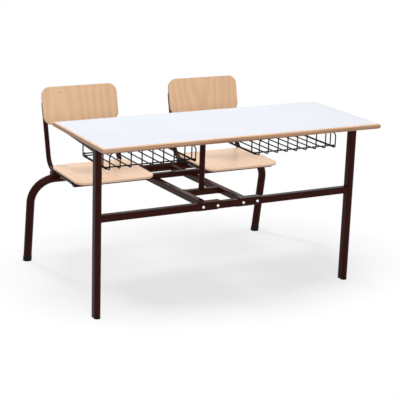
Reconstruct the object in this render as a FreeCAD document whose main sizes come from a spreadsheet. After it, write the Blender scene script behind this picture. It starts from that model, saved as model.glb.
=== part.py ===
import FreeCAD, Part
import math
import os
from types import SimpleNamespace
import Sketcher

# Double school desk with two fixed seats, in millimetres.
# +X runs along the top, +Y points from the top's free edge to the seats, +Z is up.
# The origin lies on the floor, in the middle of the whole desk's box.
# A setback is measured from the top's free edge, a height from the floor.

SIZES = {
    # top
    "table_length": 1310,
    "table_depth": 520,
    "table_height": 750,
    "table_thickness": 22,
    "laminate_thickness": 1,
    "strip_width": 10,
    "strip_radius": 9,
    # front legs, of flat-oval tube, and the arms under the top
    "leg_width": 28,
    "leg_depth": 50,
    "leg_wall": 2,
    "leg_inset": 43,
    "leg_setback": 149,
    "foot_height": 8,
    "foot_plug": 16,
    "arm_width": 26,
    "arm_height": 30,
    "arm_tip": 13,
    "arm_wall": 2,
    "arm_end_gap": 56,
    # crossbar between the front legs
    "bar_size": 30,
    "bar_wall": 2,
    "tube_corner": 3.5,
    "bar_height": 424,
    # rails from the crossbar to the arch, with the bolted brackets
    "rail_offset": 97,
    "rail_width": 30,
    "rail_depth": 28,
    "rail_wall": 2,
    "rail_front_height": 430,
    "bracket_width": 102,
    "bracket_thickness": 4,
    "bolt_spacing": 69,
    "bolt_diameter": 8,
    "bolt_head": 14,
    "bolt_dome": 4.5,
    "nut_width": 13,
    "nut_height": 6,
    # member between the rails, and the post on it
    "post_edge_gap": 120,
    "member_width": 28,
    "post_diameter": 26,
    "post_wall": 2,
    "plate_size": 90,
    "plate_thickness": 4,
    # tube across under the front part of both seats
    "seat_tube_length": 1008,
    "seat_tube_size": 25,
    "seat_tube_wall": 2,
    "seat_tube_setback": 647,
    # rear arch of round tube
    "arch_tube": 38,
    "arch_wall": 2,
    "arch_span": 1230,
    "arch_bend": 110,
    "arch_setback": 878,
    "arch_foot_setback": 942,
    "cap_height": 22,
    "cap_wall": 1.2,
    # chairs: a bent hoop carries the seat and the backrest
    "chair_offset": 325,
    "hoop_tube": 22,
    "hoop_wall": 1.5,
    "hoop_width": 349,
    "hoop_setback": 1036,
    "hoop_height": 766,
    "hoop_lean": 14,
    "hoop_low_bend": 65,
    "hoop_top_bend": 58,
    "saddle_length": 44,
    "saddle_width": 30,
    "saddle_thickness": 3,
    "seat_width": 380,
    "seat_depth": 328,
    "seat_thickness": 10,
    "seat_setback": 577,
    "seat_height": 453,
    "seat_rise": 2,
    "seat_corner": 45,
    "seat_nose_gap": 9,
    "seat_drop": 3,
    "seat_bend": 200,
    "board_edge": 2.5,
    "back_width": 376,
    "back_above": 25,
    "back_below": 150,
    "back_thickness": 10,
    "back_corner": 42,
    "rivet_spacing": 204,
    "rivet_diameter": 5,
    "rivet_head": 11,
    "rivet_dome": 2.5,
    "rivet_bulb": 8,
    "back_screw_drop": 118,
    # wire baskets under the top
    "basket_middle_gap": 146.5,
    "basket_leg_gap": 58.5,
    "wire_diameter": 5.5,
    "basket_setback": 177,
    "basket_rear_gap": 87,
    "basket_height": 112,
    "basket_rim": 71,
    "basket_lip": 14,
    "basket_end_gap": 7.5,
    "basket_end_setback": 50,
    "wire_bend": 9,
    "rim_bend": 22,
    "tab_width": 16,
    "tab_length": 34,
    "tab_thickness": 2,
    # screws
    "screw_diameter": 4.5,
    "screw_head": 9,
    "screw_head_height": 3,
    "screw_grip": 14,
    "seat_screw_grip": 7,
    # fits
    "hole_clearance": 0.3,
    "plug_clearance": 0.3,
    "plug_depth": 14,
    "plug_flange": 3,
    "overrun": 5,
}
LONG_WIRES = 9
NUT_SIDES = 6
ARM_SCREW_SHARES = (0.22, 0.54, 0.86)
SEAT_SCREW_SHARES = (0.3, 0.62)
FRONT_WIRE_SHARE = 0.09
REAR_WIRE_SHARE = 0.92
TAB_SCREW_SHARE = 0.25
STEEP_SHARE = 0.9


class Size:
    """A length or angle that keeps its expression next to its number."""

    def __init__(self, text, value):
        self.text = text
        self.value = value

    def join(self, other, sign, value):
        return Size(f"({self.text} {sign} {as_size(other).text})", value)

    def __add__(self, other):
        return self.join(other, "+", self.value + as_size(other).value)

    def __sub__(self, other):
        return self.join(other, "-", self.value - as_size(other).value)

    def __mul__(self, other):
        return self.join(other, "*", self.value * as_size(other).value)

    def __truediv__(self, other):
        return self.join(other, "/", self.value / as_size(other).value)

    def __neg__(self):
        return Size(f"(-{self.text})", -self.value)


def as_size(number):
    return number if isinstance(number, Size) else Size(repr(number), number)


def slope_angle(rise, run):
    return Size(f"atan2({rise.text}; {run.text})", math.degrees(math.atan2(rise.value, run.value)))


def cosine(angle):
    return Size(f"cos({angle.text})", math.cos(math.radians(angle.value)))


def sine(angle):
    return Size(f"sin({angle.text})", math.sin(math.radians(angle.value)))


def square_root(size):
    return Size(f"sqrt({size.text})", math.sqrt(size.value))


def arc_sine(ratio):
    return Size(f"asin({ratio.text})", math.degrees(math.asin(ratio.value)))


doc = FreeCAD.newDocument("DoubleDesk")
sheet = doc.addObject("Spreadsheet::Sheet", "Sizes")
for row, (alias, number) in enumerate(SIZES.items(), start=1):
    sheet.set(f"A{row}", alias)
    sheet.set(f"B{row}", str(number))
    sheet.setAlias(f"B{row}", alias)
doc.recompute()
s = SimpleNamespace(**{alias: Size(f"Sizes.{alias}", number) for alias, number in SIZES.items()})

ZERO = as_size(0)
X_AXIS = FreeCAD.Vector(1, 0, 0)
Y_AXIS = FreeCAD.Vector(0, 1, 0)
QUARTER_TURN = Size("90 deg", 90)
nodes = []


# Placing and binding

def bind(item, **sizes):
    for name, size in sizes.items():
        item.setExpression(name, size.text)


def place(item, x, y, z):
    for name, size in (("x", x), ("y", y), ("z", z)):
        item.setExpression(f"Placement.Base.{name}", as_size(size).text)
    return item


def turn(item, axis, angle):
    item.Placement = FreeCAD.Placement(FreeCAD.Vector(), FreeCAD.Rotation(axis, angle.value))
    item.setExpression("Placement.Rotation.Angle", angle.text)
    return item


def node(item, label):
    item.Label = label
    nodes.append(item)
    return item


# Solids from primitives

def box(name, length, width, height, x, y, z):
    """A box whose middle is at x, y and whose bottom is at z."""
    item = doc.addObject("Part::Box", name)
    bind(item, Length=length, Width=width, Height=height)
    return place(item, x - length / 2, y - width / 2, z)


def rod(name, diameter, length, x, y, z, axis="z"):
    """A cylinder that starts at x, y, z and runs along the axis."""
    item = doc.addObject("Part::Cylinder", name)
    bind(item, Radius=diameter / 2, Height=length)
    if axis == "x":
        turn(item, Y_AXIS, QUARTER_TURN)
    if axis == "y":
        turn(item, X_AXIS, -QUARTER_TURN)
    return place(item, x, y, z)


def dome(name, diameter, height, x, y, z):
    """A round-topped head on the plane of y, with its top towards -Y."""
    radius = (diameter * diameter / 4 + height * height) / (height * 2)
    item = doc.addObject("Part::Sphere", name)
    bind(item, Radius=radius, Angle1=arc_sine((radius - height) / radius))
    turn(item, X_AXIS, QUARTER_TURN)
    return place(item, x, y + radius - height, z)


def group(name, items):
    item = doc.addObject("Part::Compound", name)
    item.Links = list(items)
    return item


def fuse(name, items):
    item = doc.addObject("Part::MultiFuse", name)
    item.Shapes = list(items)
    item.Refine = True
    return item


def cut(name, base, tool):
    item = doc.addObject("Part::Cut", name)
    item.Base = base
    item.Tool = tool
    return item


def oval(name, width, depth, height, x, y, z):
    """An upright solid of flat-oval section, long in Y."""
    straight = depth - width
    core = box(name + "_core", width, straight, height, x, y, z)
    rear = rod(name + "_rear", width, height, x, y + straight / 2, z)
    front = rod(name + "_front", width, height, x, y - straight / 2, z)
    return fuse(name, [core, rear, front])


# Sketches

def origin_plane(body, role):
    return next(item for item in body.Origin.OriginFeatures if item.Role == role)


def new_sketch(body, name, plane):
    sketch = body.newObject("Sketcher::SketchObject", name)
    sketch.AttachmentSupport = [(origin_plane(body, plane), "")]
    sketch.MapMode = "FlatFace"
    return sketch


def fix_point(sketch, geometry, end, x, y):
    for kind, size in (("DistanceX", x), ("DistanceY", y)):
        index = sketch.addConstraint(Sketcher.Constraint(kind, -1, 1, geometry, end, size.value))
        sketch.setExpression(f"Constraints[{index}]", size.text)


def bend_points(before, corner, after, radius):
    """An arc's start, middle, finish and centre, tangent to the two sides at a corner."""
    into = (corner - before).normalize()
    out = (after - corner).normalize()
    reach = radius * math.tan(into.getAngle(out) / 2)
    start = corner - into * reach
    finish = corner + out * reach
    inward = (out - into).normalize()
    centre = corner + inward * math.hypot(radius, reach)
    return start, centre - inward * radius, finish, centre


def direction(start, finish):
    """The unit step from one point of an outline to the next."""
    run = finish[0] - start[0]
    rise = finish[1] - start[1]
    length = square_root(run * run + rise * rise)
    return run / length, rise / length


def bend_ends(before, corner, after, radius):
    """Where an arc of this radius leaves one side of an outline and meets the next."""
    into = direction(before, corner)
    out = direction(corner, after)
    cross = into[0] * out[1] - into[1] * out[0]
    if cross.value < 0:
        cross = -cross
    reach = radius * cross / (into[0] * out[0] + into[1] * out[1] + 1)
    start = (corner[0] - into[0] * reach, corner[1] - into[1] * reach)
    finish = (corner[0] + out[0] * reach, corner[1] + out[1] * reach)
    return start, finish


def as_vector(point):
    return FreeCAD.Vector(point[0].value, point[1].value, 0)


def trace(sketch, corners, bends, closed):
    """Straight sides through the corners, with a tangent arc at each corner that has a bend."""
    count = len(corners)
    starts = list(corners)
    ends = list(corners)
    for i, radius in bends.items():
        ends[i], starts[i] = bend_ends(corners[i - 1], corners[i], corners[(i + 1) % count], radius)
    sides = []
    for i in range(count if closed else count - 1):
        finish = (i + 1) % count
        side = sketch.addGeometry(Part.LineSegment(as_vector(starts[i]), as_vector(ends[finish])), False)
        sides.append(side)
        fix_point(sketch, side, 1, *starts[i])
        if finish in bends or (not closed and finish == count - 1):
            fix_point(sketch, side, 2, *ends[finish])
    for i in range(count if closed else count - 1):
        if i == 0 and not closed:
            continue
        before = sides[i - 1]
        after = sides[i]
        if i not in bends:
            sketch.addConstraint(Sketcher.Constraint("Coincident", before, 2, after, 1))
            continue
        neighbours = [as_vector(corners[j]) for j in (i - 1, i, (i + 1) % count)]
        start, _, finish, centre = bend_points(*neighbours, bends[i].value)
        left_turn = (neighbours[1] - neighbours[0]).cross(neighbours[2] - neighbours[1]).z > 0
        limits = [finish - centre, start - centre]
        first = 2
        if left_turn:
            limits.reverse()
            first = 1
        angles = [math.atan2(limit.y, limit.x) for limit in limits]
        circle = Part.Circle(centre, FreeCAD.Vector(0, 0, 1), bends[i].value)
        arc = sketch.addGeometry(Part.ArcOfCircle(circle, *angles), False)
        sketch.addConstraint(Sketcher.Constraint("Coincident", before, 2, arc, first))
        sketch.addConstraint(Sketcher.Constraint("Coincident", arc, 3 - first, after, 1))
        index = sketch.addConstraint(Sketcher.Constraint("Radius", arc, bends[i].value))
        sketch.setExpression(f"Constraints[{index}]", bends[i].text)
    return sketch


def ring(sketch, diameter, wall=None):
    """A circle about the sketch's origin, with a bore when a wall is given."""
    diameters = [diameter] if wall is None else [diameter, diameter - wall * 2]
    for size in diameters:
        circle = Part.Circle(FreeCAD.Vector(), FreeCAD.Vector(0, 0, 1), size.value / 2)
        geometry = sketch.addGeometry(circle, False)
        sketch.addConstraint(Sketcher.Constraint("Coincident", geometry, 3, -1, 1))
        index = sketch.addConstraint(Sketcher.Constraint("Diameter", geometry, size.value))
        sketch.setExpression(f"Constraints[{index}]", size.text)
    return sketch


def sweep(name, profile_plane, draw_profile, path_plane, corners, bends):
    """A body whose section runs from its origin along the bent path."""
    body = doc.addObject("PartDesign::Body", name)
    profile = draw_profile(new_sketch(body, name + "_profile", profile_plane))
    path = trace(new_sketch(body, name + "_path", path_plane), corners, bends, closed=False)
    doc.recompute()
    pipe = body.newObject("PartDesign::AdditivePipe", name + "_pipe")
    pipe.Profile = profile
    pipe.Spine = (path, [f"Edge{i + 1}" for i in range(len(path.Shape.Edges))])
    body.Tip = pipe
    return body


def extrude(name, plane, corners, bends, length):
    """A body padded from a closed outline on one of its own planes."""
    body = doc.addObject("PartDesign::Body", name)
    outline = trace(new_sketch(body, name + "_outline", plane), corners, bends, closed=True)
    pad = body.newObject("PartDesign::Pad", name + "_pad")
    pad.Profile = outline
    pad.setExpression("Length", length.text)
    body.Tip = pad
    return body


def rectangle(x0, x1, y0, y1):
    return [(x0, y0), (x1, y0), (x1, y1), (x0, y1)]


def round_all(radius):
    """The same bend at each corner of a rectangle."""
    return {i: radius for i in range(4)}


def square_tube(name, size_y, size_z, wall, length, x, y, z):
    """An open rectangular tube along X with rounded corners, centred on x, y, z."""
    layers = []
    for part, inset, reach in (("outer", ZERO, length), ("inner", wall, length + s.overrun * 2)):
        half_y = size_y / 2 - inset
        half_z = size_z / 2 - inset
        outline = rectangle(-half_y, half_y, -half_z, half_z)
        layer = extrude(f"{name}_{part}", "YZ_Plane", outline, round_all(s.tube_corner - inset), reach)
        layers.append(place(layer, x - reach / 2, y, z))
    return cut(name, *layers)


def soften(body, radius, choose):
    """Rounds the chosen edges of a body."""
    doc.recompute()
    base = body.Tip
    names = [f"Edge{i}" for i, edge in enumerate(base.Shape.Edges, start=1) if choose(edge)]
    fillet = body.newObject("PartDesign::Fillet", base.Name + "_round")
    fillet.Base = (base, names)
    fillet.setExpression("Radius", radius.text)
    body.Tip = fillet
    return body


# Places that several pieces share

half_depth = (s.hoop_setback + s.hoop_tube / 2) / 2
under_z = s.table_height - s.table_thickness
leg_x = s.table_length / 2 - s.leg_inset
bar_rear = s.leg_setback + s.bar_size / 2
rail_start = bar_rear + s.bracket_thickness
seat_angle = slope_angle(s.seat_rise, s.seat_depth)
seat_grade = s.seat_rise / s.seat_depth
member_setback = s.table_depth - s.post_edge_gap
seat_tube_front = s.seat_tube_setback - s.seat_tube_size / 2
seat_tube_rear = s.seat_tube_setback + s.seat_tube_size / 2


def depth_at(setback):
    """The Y of a place that lies this far behind the top's free edge."""
    return setback - half_depth


def seat_under(setback):
    """The height of the seats' underside at a setback."""
    return s.seat_height - s.seat_thickness + (setback - s.seat_setback) * seat_grade


seat_tube_z = seat_under(seat_tube_front) - s.seat_tube_size / 2
rail_grade = (s.rail_front_height - seat_tube_z + s.seat_tube_size / 2) / (seat_tube_front - rail_start)
arch_z = (
    seat_under(s.arch_setback)
    - s.hoop_tube / cosine(seat_angle)
    - s.saddle_thickness
    - s.arch_tube / 2
)


def rail_top(setback):
    """The height of the rails' upper face, which falls from the crossbar to the seat tube."""
    return s.rail_front_height - (setback - rail_start) * rail_grade


SIDES = (("left", -1), ("right", 1))


# Screws into the underside of the top

def screw(name, x, y, z, grip):
    """A pan-head screw with its head below z and its shank going up."""
    head = rod(name + "_head", s.screw_head, s.screw_head_height, x, y, z - s.screw_head_height)
    shank = rod(name + "_shank", s.screw_diameter, grip, x, y, z)
    return fuse(name, [head, shank])


def screw_hole(name, x, y, z, grip):
    """The bore for that screw, open below."""
    bore = s.screw_diameter + s.hole_clearance
    return rod(name + "_hole", bore, grip + s.overrun, x, y, z - s.overrun)


class ScrewSet:
    """Screws of one node, with the bores that they need."""

    def __init__(self, name):
        self.name = name
        self.screws = []
        self.holes = []

    def add(self, x, y, z, grip):
        name = f"{self.name}_{len(self.screws)}"
        self.screws.append(screw(name, x, y, z, grip))
        self.holes.append(screw_hole(name, x, y, z, grip + s.hole_clearance))
        return self.holes[-1]

    def finish(self):
        return node(group(self.name, self.screws), self.name)


table_screws = ScrewSet("table_screws")
basket_screws = ScrewSet("basket_screws")


# Front legs, arms and crossbar

def leg_cope(name, sign, height, z):
    """The leg's outer form over a height, to cut a tube that is welded to it."""
    return oval(name, s.leg_width, s.leg_depth, height, leg_x * sign, depth_at(s.leg_setback), z)


def leg(side, sign):
    x = leg_x * sign
    y = depth_at(s.leg_setback)
    height = under_z - s.foot_height
    bore_width = s.leg_width - s.leg_wall * 2
    bore_depth = s.leg_depth - s.leg_wall * 2
    outer = oval(f"{side}_leg_outer", s.leg_width, s.leg_depth, height, x, y, s.foot_height)
    inner = oval(
        f"{side}_leg_inner", bore_width, bore_depth, height + s.overrun * 2, x, y, s.foot_height - s.overrun
    )
    node(cut(f"{side}_leg", outer, inner), f"{side}_leg")
    flange = oval(f"{side}_foot_flange", s.leg_width, s.leg_depth, s.foot_height, x, y, ZERO)
    play = s.plug_clearance * 2
    plug = oval(
        f"{side}_foot_plug", bore_width - play, bore_depth - play, s.foot_height + s.foot_plug, x, y, ZERO
    )
    node(fuse(f"{side}_foot", [flange, plug]), f"{side}_foot")


def folds(edge):
    """Whether an edge of an arm is one of its two folds."""
    return edge.BoundBox.YLength > s.arm_height.value and edge.BoundBox.ZLength < s.arm_wall.value


def arm(side, sign):
    """A folded channel, open below, whose flanges taper away from the leg."""
    x = leg_x * sign
    finish = s.table_depth - s.arm_end_gap
    length = finish - s.leg_setback
    corners = [
        (depth_at(s.leg_setback), under_z),
        (depth_at(s.leg_setback), under_z - s.arm_height),
        (depth_at(finish), under_z - s.arm_tip),
        (depth_at(finish), under_z),
    ]
    wedge = extrude(f"{side}_arm_wedge", "YZ_Plane", corners, {}, s.arm_width)
    soften(wedge, s.tube_corner, folds)
    place(wedge, x - s.arm_width / 2, ZERO, ZERO)
    web = under_z - s.arm_wall
    trough = box(
        f"{side}_arm_trough",
        s.arm_width - s.arm_wall * 2,
        length + s.overrun * 2,
        s.arm_height,
        x,
        depth_at(s.leg_setback + length / 2),
        web - s.arm_height,
    )
    channel = cut(f"{side}_arm_channel", wedge, trough)
    holes = [leg_cope(f"{side}_arm_cope", sign, s.arm_height, under_z - s.arm_height)]
    for share in ARM_SCREW_SHARES:
        y = depth_at(s.leg_setback + length * share)
        holes.append(table_screws.add(x, y, web, s.arm_wall + s.screw_grip))
    node(cut(f"{side}_arm", channel, group(f"{side}_arm_holes", holes)), f"{side}_arm")


def crossbar():
    middle = depth_at(s.leg_setback)
    tube = square_tube(
        "crossbar_tube", s.bar_size, s.bar_size, s.bar_wall, leg_x * 2, ZERO, middle, s.bar_height
    )
    bore = s.bolt_diameter + s.hole_clearance
    front = depth_at(s.leg_setback - s.bar_size / 2)
    reach = s.bar_size + s.bracket_thickness + s.nut_height
    bolts = []
    nuts = []
    holes = []
    for i, (sign, hand) in enumerate((a, b) for a in (-1, 1) for b in (-0.5, 0.5)):
        x = s.rail_offset * sign + s.bolt_spacing * hand
        head = dome(f"bolt{i}_head", s.bolt_head, s.bolt_dome, x, front, s.bar_height)
        shank = rod(f"bolt{i}_shank", s.bolt_diameter, reach, x, front, s.bar_height, "y")
        bolts.append(fuse(f"bolt{i}", [head, shank]))
        holes.append(
            rod(f"bolt{i}_hole", bore, reach + s.overrun, x, front - s.overrun, s.bar_height, "y")
        )
        nuts.append(nut(f"nut{i}", x, depth_at(rail_start), s.bar_height))
    drill = group("crossbar_holes", holes)
    copes = [
        leg_cope(f"{side}_bar_cope", sign, s.bar_size, s.bar_height - s.bar_size / 2) for side, sign in SIDES
    ]
    node(cut("crossbar", tube, group("crossbar_cuts", [drill] + copes)), "crossbar")
    node(group("crossbar_bolts", bolts), "crossbar_bolts")
    node(group("crossbar_nuts", nuts), "crossbar_nuts")
    return drill


def nut(name, x, y, z):
    """A hexagon nut on the plane of y, with its bore clear of the bolt."""
    prism = doc.addObject("Part::Prism", name + "_body")
    prism.Polygon = NUT_SIDES
    flat_share = math.cos(math.pi / NUT_SIDES)
    bind(prism, Circumradius=s.nut_width / (flat_share * 2), Height=s.nut_height)
    turn(prism, X_AXIS, -QUARTER_TURN)
    place(prism, x, y, z)
    bore = rod(
        name + "_bore",
        s.bolt_diameter + s.hole_clearance,
        s.nut_height + s.overrun * 2,
        x,
        y - s.overrun,
        z,
        "y",
    )
    return cut(name, prism, bore)


# Rails, brackets, member and post

def rail_profile(start, finish, inset):
    return [
        (depth_at(start), rail_top(start) - s.rail_depth + inset),
        (depth_at(finish), rail_top(finish) - s.rail_depth + inset),
        (depth_at(finish), rail_top(finish) - inset),
        (depth_at(start), rail_top(start) - inset),
    ]


def runs_along(edge):
    """Whether an edge runs the length of a rail."""
    return edge.BoundBox.YLength > s.rail_width.value


def rail(side, sign, drill):
    x = s.rail_offset * sign
    outer = extrude(
        f"{side}_rail_outer", "YZ_Plane", rail_profile(rail_start, s.arch_setback, ZERO), {}, s.rail_width
    )
    soften(outer, s.tube_corner, runs_along)
    place(outer, x - s.rail_width / 2, ZERO, ZERO)
    bore_width = s.rail_width - s.rail_wall * 2
    path = rail_profile(rail_start - s.overrun, s.arch_setback + s.overrun, s.rail_wall)
    inner = extrude(f"{side}_rail_inner", "YZ_Plane", path, {}, bore_width)
    soften(inner, s.tube_corner - s.rail_wall, runs_along)
    place(inner, x - bore_width / 2, ZERO, ZERO)
    tube = cut(f"{side}_rail_tube", outer, inner)
    length = s.rail_width + s.overrun * 2
    cope = rod(
        f"{side}_rail_cope", s.arch_tube, length, x - length / 2, depth_at(s.arch_setback), arch_z, "x"
    )
    node(cut(f"{side}_rail", tube, cope), f"{side}_rail")

    bar_top = s.bar_height + s.bar_size / 2
    bottom = rail_top(rail_start) - s.rail_depth - s.bracket_thickness
    top = bar_top + s.bracket_thickness
    plate = box(
        f"{side}_bracket_plate",
        s.bracket_width,
        s.bracket_thickness,
        top - bottom,
        x,
        depth_at(bar_rear + s.bracket_thickness / 2),
        bottom,
    )
    lip = box(
        f"{side}_bracket_lip",
        s.bracket_width,
        s.bar_size,
        s.bracket_thickness,
        x,
        depth_at(s.leg_setback),
        bar_top,
    )
    angle = fuse(f"{side}_bracket_angle", [plate, lip])
    node(cut(f"{side}_rail_bracket", angle, drill), f"{side}_rail_bracket")


def member_and_post():
    y = depth_at(member_setback)
    top = rail_top(member_setback)
    length = s.rail_offset * 2 - s.rail_width
    tube = square_tube(
        "rail_member", s.member_width, s.rail_depth, s.rail_wall, length, ZERO, y, top - s.rail_depth / 2
    )
    node(tube, "rail_member")
    plate_z = under_z - s.plate_thickness
    outer = rod("post_outer", s.post_diameter, plate_z - top, ZERO, y, top)
    inner = rod(
        "post_inner",
        s.post_diameter - s.post_wall * 2,
        plate_z - top + s.overrun * 2,
        ZERO,
        y,
        top - s.overrun,
    )
    node(cut("centre_post", outer, inner), "centre_post")
    plate = box("post_plate_blank", s.plate_size, s.plate_size, s.plate_thickness, ZERO, y, plate_z)
    reach = s.plate_size / 2 - s.screw_head
    grip = s.plate_thickness + s.screw_grip
    holes = []
    for sign_x in (-1, 1):
        for sign_y in (-1, 1):
            holes.append(table_screws.add(reach * sign_x, y + reach * sign_y, plate_z, grip))
    node(cut("post_plate", plate, group("post_plate_holes", holes)), "post_plate")


# Tube across under the seats, and the rear arch

def plug_layer(name, size, corner, length):
    """A square layer of a tube's plug, with rounded corners, that runs along X."""
    outline = rectangle(-size / 2, size / 2, -size / 2, size / 2)
    return extrude(name, "YZ_Plane", outline, round_all(corner), length)


def seat_tube():
    y = depth_at(s.seat_tube_setback)
    size = s.seat_tube_size
    tube = square_tube("seat_tube", size, size, s.seat_tube_wall, s.seat_tube_length, ZERO, y, seat_tube_z)
    node(tube, "seat_tube")
    bore = size - s.seat_tube_wall * 2 - s.plug_clearance * 2
    plugs = []
    for side, sign in SIDES:
        end = s.seat_tube_length * (sign / 2)
        flange = plug_layer(f"{side}_seat_plug_flange", size, s.tube_corner, s.plug_flange)
        place(flange, end + s.plug_flange * ((sign - 1) / 2), y, seat_tube_z)
        insert = plug_layer(f"{side}_seat_plug_insert", bore, s.tube_corner - s.seat_tube_wall, s.plug_depth)
        place(insert, end - s.plug_depth * ((sign + 1) / 2), y, seat_tube_z)
        plugs.append(fuse(f"{side}_seat_plug", [flange, insert]))
    node(group("seat_tube_plugs", plugs), "seat_tube_plugs")


def rear_arch():
    lean = slope_angle(s.arch_foot_setback - s.arch_setback, arch_z)
    rise = arch_z / cosine(lean)
    start = s.cap_wall / cosine(lean) + s.arch_tube / 2 * (sine(lean) / cosine(lean))
    corners = [
        (ZERO, ZERO),
        (ZERO, rise - start),
        (s.arch_span, rise - start),
        (s.arch_span, ZERO),
    ]
    tube = sweep(
        "rear_arch",
        "XY_Plane",
        lambda sketch: ring(sketch, s.arch_tube, s.arch_wall),
        "XZ_Plane",
        corners,
        {1: s.arch_bend, 2: s.arch_bend},
    )
    turn(tube, X_AXIS, lean)
    foot_y = depth_at(s.arch_foot_setback)
    place(tube, -(s.arch_span / 2), foot_y - start * sine(lean), start * cosine(lean))
    node(tube, "rear_arch")

    for side, sign in SIDES:
        x = s.arch_span * (sign / 2)
        outer_size = s.arch_tube + s.cap_wall * 2
        cup = rod(f"{side}_cap_cup", outer_size, s.cap_height + s.overrun * 2, x, foot_y, ZERO)
        bore = rod(f"{side}_cap_bore", s.arch_tube, s.cap_height + s.overrun * 4, x, foot_y, ZERO)
        for item, offset in ((cup, -s.overrun), (bore, start)):
            turn(item, X_AXIS, lean)
            place(item, x, foot_y - offset * sine(lean), offset * cosine(lean))
        shell = cut(f"{side}_cap_shell", cup, bore)
        reach = outer_size * 2
        slab = box(f"{side}_cap_slab", reach, reach, s.cap_height, x, foot_y, ZERO)
        cap = doc.addObject("Part::Common", f"{side}_cap")
        cap.Base = shell
        cap.Tool = slab
        node(cap, f"{side}_arch_cap")


# Chairs

def seat_frame(x):
    """The underside's rear edge, with Y along the seat and Z square to it."""
    base = FreeCAD.Vector(
        x.value,
        depth_at(s.seat_setback + s.seat_depth).value,
        seat_under(s.seat_setback + s.seat_depth).value,
    )
    return FreeCAD.Placement(base, FreeCAD.Rotation(X_AXIS, seat_angle.value))


def on_seat(item, x):
    """Puts a piece that is built about the seat's own origin on the seat's frame."""
    rear = s.seat_setback + s.seat_depth
    turn(item, X_AXIS, seat_angle)
    return place(item, x, depth_at(rear), seat_under(rear))


def back_frame(x):
    """The hoop's upper axis, with Z up along the leaning posts."""
    base = FreeCAD.Vector(x.value, depth_at(s.hoop_setback).value, s.hoop_height.value)
    return FreeCAD.Placement(base, FreeCAD.Rotation(X_AXIS, -s.hoop_lean.value))


def on_back(item, x):
    """Puts a piece that is built about the hoop's upper axis on the leaning frame."""
    turn(item, X_AXIS, -s.hoop_lean)
    return place(item, x, depth_at(s.hoop_setback), s.hoop_height)


def bent_wire(points, radii):
    """A path of straight runs joined by tangent arcs, one radius for each inner point."""
    edges = []
    last = points[0]
    for i, radius in enumerate(radii, start=1):
        start, middle, finish, _ = bend_points(points[i - 1], points[i], points[i + 1], radius)
        edges.append(Part.LineSegment(last, start).toShape())
        edges.append(Part.Arc(start, middle, finish).toShape())
        last = finish
    edges.append(Part.LineSegment(last, points[-1]).toShape())
    return Part.Wire(edges)


def pipe_solid(path, diameter):
    start = path.Edges[0].Curve.value(path.Edges[0].FirstParameter)
    direction = path.Edges[0].tangentAt(path.Edges[0].FirstParameter)
    profile = Part.Wire(Part.makeCircle(diameter / 2, start, direction))
    return path.makePipeShell([profile], True, False)


def hoop(side, x, holes):
    """One tube: seat rail, bend, post, over behind the backrest, and down the other side."""
    seat = seat_frame(x)
    back = back_frame(x)
    size = s.hoop_tube.value
    width = s.hoop_width.value
    along = seat.Rotation.multVec(Y_AXIS)
    post = back.Rotation.multVec(FreeCAD.Vector(0, 0, 1))
    half = FreeCAD.Vector(width / 2, 0, 0)
    rail_point = seat.multVec(FreeCAD.Vector(0, 0, -size / 2))
    gap = back.Base - rail_point
    reach = (gap.y * post.z - gap.z * post.y) / (along.y * post.z - along.z * post.y)
    low = rail_point + along * reach
    face = depth_at(seat_tube_rear).value
    start = rail_point + along * ((face - s.overrun.value - rail_point.y) / along.y)
    points = [start - half, low - half, back.Base - half, back.Base + half, low + half, start + half]
    radii = [s.hoop_low_bend.value, s.hoop_top_bend.value, s.hoop_top_bend.value, s.hoop_low_bend.value]
    path = bent_wire(points, radii)
    tube = pipe_solid(path, size).cut(pipe_solid(path, size - s.hoop_wall.value * 2))
    trim = Part.makeBox(width + size * 2, size * 2, size * 4)
    trim.translate(FreeCAD.Vector(x.value - width / 2 - size, face - size * 2, start.z - size * 2))
    item = doc.addObject("Part::Feature", f"{side}_hoop")
    item.Shape = tube.cut([trim] + holes)
    item.Placement = FreeCAD.Placement()
    return node(item, f"{side}_hoop")


def stands_up(edge):
    """Whether an edge runs through a board's thickness."""
    return edge.BoundBox.ZLength > edge.Length * STEEP_SHARE


def lies_at_rim(edge):
    """Whether an edge of a seat belongs to its rim, not to the bend across it."""
    across = s.seat_width.value - s.seat_corner.value
    return not stands_up(edge) and edge.BoundBox.XLength < across


def seat_board(side, x):
    """Ply seat with a rolled front edge and rounded corners."""
    half = s.seat_thickness / 2
    straight = s.seat_depth + s.seat_setback + s.seat_nose_gap - seat_tube_front

    def section(sketch):
        return trace(sketch, rectangle(-s.seat_width / 2, s.seat_width / 2, ZERO, s.seat_thickness), {}, True)

    corners = [(ZERO, half), (-straight, half), (-s.seat_depth, half - s.seat_drop)]
    board = sweep(f"{side}_seat_board", "XZ_Plane", section, "YZ_Plane", corners, {1: s.seat_bend})
    soften(board, s.seat_corner, stands_up)
    soften(board, s.board_edge, lies_at_rim)

    places = [
        (s.hoop_width * hand, -(s.seat_depth * share)) for hand in (-0.5, 0.5) for share in SEAT_SCREW_SHARES
    ]
    grip = s.hoop_tube + s.seat_screw_grip
    screws = ScrewSet(f"{side}_seat_screws")
    for place_x, place_y in places:
        screws.add(place_x, place_y, -s.hoop_tube, grip)
    on_seat(node(cut(f"{side}_seat", board, group(f"{side}_seat_holes", screws.holes)), f"{side}_seat"), x)
    on_seat(screws.finish(), x)
    frame = seat_frame(x).toMatrix()
    bore = (s.screw_diameter.value + s.hole_clearance.value) / 2
    holes = []
    for place_x, place_y in places:
        base = FreeCAD.Vector(place_x.value, place_y.value, -(s.hoop_tube.value + s.overrun.value))
        hole = Part.makeCylinder(bore, grip.value + s.overrun.value, base)
        holes.append(hole.transformGeometry(frame))
    return holes


def lies_on_face(edge):
    """Whether an edge of a backrest lies in its front or rear face."""
    return edge.BoundBox.YLength < s.board_edge.value


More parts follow.
